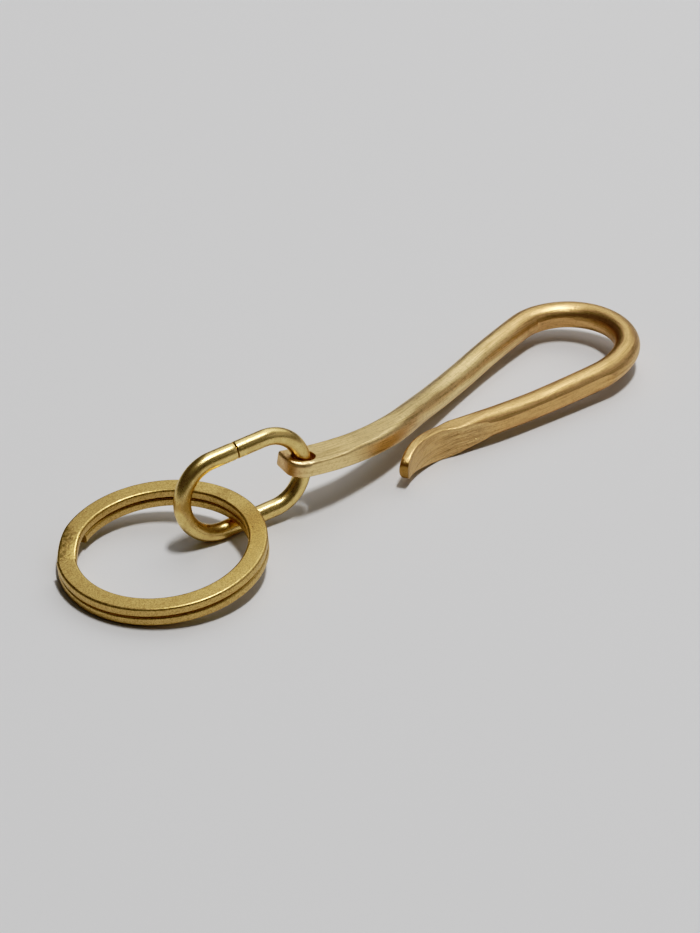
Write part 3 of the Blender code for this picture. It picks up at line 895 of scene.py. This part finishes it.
class OBJECT_OT_make_link(bpy.types.Operator):
    """Makes the oval link: a round section led round the oval, back to the butt joint where it began"""

    bl_idname = "object.make_oval_link"
    bl_label = "Make Link"

    def execute(self, context):
        link = LinkPlace(context.scene.key_link_sizes)
        joint_middle = link.middle + link.short_axis * link.arc_radius + link.long_axis * LINK_JOINT_OFFSET
        first_step = LINK_JOINT_STEPS[-1][0]
        deselect_all()
        across = Matrix((link.short_axis, link.normal, link.long_axis)).transposed()
        bpy.ops.mesh.primitive_circle_add(
            vertices=WIRE_SIDES,
            radius=link.wire_radius,
            location=joint_middle + link.long_axis * first_step,
            rotation=across.to_euler(),
        )
        piece = new_piece("drawn_link")
        edit_all()
        self.run(link.long_axis, link.half_side - LINK_JOINT_OFFSET - first_step)
        self.turn(link.hook_arc, link.normal)
        self.run(-link.long_axis, 2 * link.half_side)
        self.turn(link.ring_arc, link.normal)
        self.run(link.long_axis, link.half_side + LINK_JOINT_OFFSET + LINK_JOINT_STEPS[0][0])
        self.wire_end(link, joint_middle)
        bpy.ops.object.mode_set(mode="OBJECT")
        close_and_smooth(piece, LINK_SHARP_ANGLE)
        self.map_wire(piece.data, link)
        lengths = (link.wire_length(), math.tau * link.wire_radius)
        material = link_brass(context.scene.key_hook_finishes, *(1000.0 * length for length in lengths))
        finish_piece(piece, material, "oval_link", "link")
        return {"FINISHED"}

    def run(self, direction, length):
        """A straight side, in even steps."""
        for _ in range(LINK_SIDE_STEPS):
            extrude_by(direction * (length / LINK_SIDE_STEPS))

    def turn(self, centre, axis):
        """A half circle round an end of the link."""
        bpy.ops.mesh.spin(steps=LINK_ARC_STEPS, angle=math.pi, center=centre, axis=axis)

    def wire_end(self, link, joint_middle):
        """The cut wire ends, drawn in to the joint's bottom and out again to the first section."""
        (start, cut), *steps = LINK_JOINT_STEPS
        size = link.wire_radius - cut
        for place, cut in steps:
            extrude_by(link.long_axis * (place - start))
            share = (link.wire_radius - cut) / size
            centre = joint_middle + link.long_axis * place
            bpy.ops.transform.resize(value=(share, share, share), center_override=centre)
            start, size = place, link.wire_radius - cut

    def map_wire(self, mesh, link):
        """A map that runs along the wire and round it, so that drawing lines follow the wire."""
        total = link.wire_length()
        wrap = mesh.uv_layers.new(name="wrap")
        for polygon in mesh.polygons:
            middle = self.wire_spot(polygon.center, link, total)
            for index in polygon.loop_indices:
                corner = mesh.vertices[mesh.loops[index].vertex_index].co
                spot = self.wire_spot(corner, link, total)
                # a face on the map's seam has all its corners on the same side of it
                wrap.data[index].uv = [s - round(s - m) for s, m in zip(spot, middle)]

    def wire_spot(self, point, link, total):
        """(share of the oval's length, share of the wire's round) at a point on the surface."""
        arm = point - link.middle
        far = arm.dot(link.long_axis)
        high = arm.dot(link.short_axis)
        out = arm.dot(link.normal)
        inner = max(min(far, link.half_side), -link.half_side)
        angle = math.atan2(high, far - inner)
        if abs(far) < link.half_side:
            walked = far if high < 0 else total / 2 - far
        elif far > 0:
            walked = link.half_side + (angle + math.pi / 2) * link.arc_radius
        else:
            walked = total / 2 + link.half_side + ((angle - math.pi / 2) % math.tau) * link.arc_radius
        return walked / total, math.atan2(out, math.hypot(far - inner, high) - link.arc_radius) / math.tau


class OBJECT_OT_make_ring(bpy.types.Operator):
    """Makes the split ring: one flat wire led round two turns, with the climb between them"""

    bl_idname = "object.make_split_ring"
    bl_label = "Make Ring"

    def execute(self, context):
        sizes = context.scene.key_ring_sizes
        centre, axis = joint("ring_turn")
        pitch = sizes.wire_thickness + sizes.turn_gap
        middle_radius = (sizes.outer_diameter - sizes.wire_width) / 2
        level = heading_vector(RING_HEADING)
        sideways = axis.cross(level).normalized()
        towards_link = sideways.cross(axis)
        start_turn = math.radians(RING_END_HEADING - RING_HEADING)
        outward = towards_link * math.cos(start_turn) + sideways * math.sin(start_turn)
        deselect_all()
        flat = Matrix((outward, axis, outward.cross(axis))).transposed()
        bpy.ops.mesh.primitive_plane_add(
            size=1.0, location=centre + outward * middle_radius - axis * (pitch / 2), rotation=flat.to_euler()
        )
        bpy.context.object.scale = (sizes.wire_width, sizes.wire_thickness, 1.0)
        piece = new_piece("flat_wire_ring")
        edit_all()
        bpy.ops.mesh.bevel(
            offset=sizes.edge_radius, segments=RING_EDGE_STEPS, profile=0.5, affect="VERTICES"
        )
        bpy.ops.mesh.select_all(action="SELECT")
        bpy.ops.mesh.delete(type="ONLY_FACE")
        bpy.ops.mesh.select_all(action="SELECT")
        turn = math.tau - sizes.ramp_angle - sizes.end_gap_angle
        steps = round(math.degrees(turn) / RING_STEP_ANGLE)
        bpy.ops.mesh.spin(steps=steps, angle=turn, center=centre, axis=axis)
        self.climb(centre, axis, sizes, pitch)
        bpy.ops.mesh.spin(steps=steps, angle=turn, center=centre, axis=axis)
        bpy.ops.object.mode_set(mode="OBJECT")
        close_and_smooth(piece, RING_SHARP_ANGLE)
        weigh_normals(piece)
        material = ring_brass(context.scene.key_hook_finishes)
        finish_piece(piece, material, "split_ring", "ring")
        return {"FINISHED"}

    def climb(self, centre, axis, sizes, pitch):
        """The stretch where the wire climbs by one pitch, in half-size steps after a short level part."""
        bpy.ops.mesh.spin(steps=1, angle=sizes.end_gap_angle, center=centre, axis=axis)
        span = sizes.ramp_angle - sizes.end_gap_angle
        steps = round(math.degrees(span) / RING_STEP_ANGLE) * 2
        for i in range(steps):
            bpy.ops.mesh.spin(steps=1, angle=span / steps, center=centre, axis=axis)
            bpy.ops.transform.translate(value=axis * (pitch * (smooth((i + 1) / steps) - smooth(i / steps))))


class OBJECT_OT_make_studio(bpy.types.Operator):
    """Lays the floor and sets up the lights and the camera"""

    bl_idname = "object.make_key_hook_studio"
    bl_label = "Make Studio"

    def execute(self, context):
        studio = context.scene.key_hook_studio
        self.lay_floor(studio)
        self.light_room(context.scene, studio)
        for name, strength, size, place, roll in SOFTBOXES:
            self.add_softbox(name, getattr(studio, strength), size, Vector(place), roll)
        self.place_camera(context.scene, studio)
        self.set_film(context.scene.view_settings)
        return {"FINISHED"}

    def lay_floor(self, studio):
        """A plain floor of seamless paper, which has no shine and a fibre too fine to see from here."""
        lowest = CAD_BOX[0][2] - FLOOR_DROP
        deselect_all()
        bpy.ops.mesh.primitive_plane_add(size=FLOOR_SIZE, location=(0.0, 0.0, lowest))
        floor = new_piece("floor")
        material = bpy.data.materials.new("seamless_paper")
        material.use_nodes = True
        tree = material.node_tree
        shader = tree.nodes["Principled BSDF"]
        shader.inputs["Roughness"].default_value = PAPER_ROUGHNESS
        shader.inputs["Specular IOR Level"].default_value = PAPER_SHINE
        pale = [min(1.0, channel * PAPER_FIBRE_CONTRAST) for channel in studio.floor_colour]
        fibre = grain(tree, PAPER_FIBRE_MM)
        colour = painted(tree, studio.floor_colour, pale, 0.0, 1.0, fibre, 1.0)
        tree.links.new(colour, shader.inputs["Base Color"])
        floor.data.materials.append(material)

    def light_room(self, scene, studio):
        world = bpy.data.worlds.new("dim_room")
        scene.world = world
        world.use_nodes = True
        background = world.node_tree.nodes["Background"]
        background.inputs["Color"].default_value = studio.room_colour
        background.inputs["Strength"].default_value = studio.room_strength

    def add_softbox(self, name, radiance, size, location, roll):
        """A rectangular light of the given radiance that faces the pieces, rolled about its own middle."""
        deselect_all()
        rolled = Quaternion((0.0, 0.0, 1.0), math.radians(roll))
        facing = location.to_track_quat("Z", "Y") @ rolled
        bpy.ops.object.light_add(type="AREA", location=location, rotation=facing.to_euler())
        light = bpy.context.object
        light.name = name
        light.data.shape = "RECTANGLE"
        light.data.size, light.data.size_y = size
        light.data.energy = radiance * math.pi * size[0] * size[1]

    def set_film(self, view):
        """Deep shadows and highlights that burn out to white, as a product picture has."""
        view.view_transform = "Standard"
        view.use_curve_mapping = True
        view.curve_mapping.white_level = (FILM_WHITE, FILM_WHITE, FILM_WHITE)
        points = view.curve_mapping.curves[3].points
        points[0].location, points[-1].location = FILM_CURVE[0], FILM_CURVE[-1]
        for light, shown in FILM_CURVE[1:-1]:
            points.new(light, shown)
        view.curve_mapping.update()

    def place_camera(self, scene, studio):
        deselect_all()
        turned = [math.radians(angle) for angle in CAMERA_ANGLES]
        bpy.ops.object.camera_add(location=CAMERA_PLACE, rotation=turned)
        camera = bpy.context.object
        camera.data.sensor_fit = "HORIZONTAL"
        camera.data.sensor_width = CAMERA_SENSOR_MM
        camera.data.lens = studio.lens
        camera.data.clip_start = CAMERA_NEAREST
        scene.camera = camera


class VIEW3D_PT_key_hook(bpy.types.Panel):
    bl_label = "Brass Key Hook"
    bl_space_type = "VIEW_3D"
    bl_region_type = "UI"
    bl_category = "Key Hook"

    def draw(self, context):
        self.draw_group(context.scene.key_hook_finishes)
        for operator, group in PANEL_ROWS:
            self.layout.operator(operator)
            self.draw_group(getattr(context.scene, group))

    def draw_group(self, settings):
        for name in settings.__annotations__:
            self.layout.prop(settings, name)


GROUPS = (
    ("key_hook_sizes", HookSizes),
    ("key_link_sizes", LinkSizes),
    ("key_ring_sizes", RingSizes),
    ("key_hook_finishes", Finishes),
    ("key_hook_studio", StudioSettings),
)
OPERATORS = (OBJECT_OT_make_hook, OBJECT_OT_make_link, OBJECT_OT_make_ring, OBJECT_OT_make_studio)
PANEL_ROWS = (
    ("object.make_key_hook", "key_hook_sizes"),
    ("object.make_oval_link", "key_link_sizes"),
    ("object.make_split_ring", "key_ring_sizes"),
    ("object.make_key_hook_studio", "key_hook_studio"),
)


def register():
    for name, group in GROUPS:
        bpy.utils.register_class(group)
        setattr(bpy.types.Scene, name, PointerProperty(type=group))
    for kind in (*OPERATORS, VIEW3D_PT_key_hook):
        bpy.utils.register_class(kind)


def unregister():
    for kind in (VIEW3D_PT_key_hook, *reversed(OPERATORS)):
        bpy.utils.unregister_class(kind)
    for name, group in reversed(GROUPS):
        delattr(bpy.types.Scene, name)
        bpy.utils.unregister_class(group)


def main():
    register()
    bpy.ops.object.make_key_hook()
    bpy.ops.object.make_oval_link()
    bpy.ops.object.make_split_ring()
    bpy.ops.object.make_key_hook_studio()


if __name__ == "__main__":
    main()
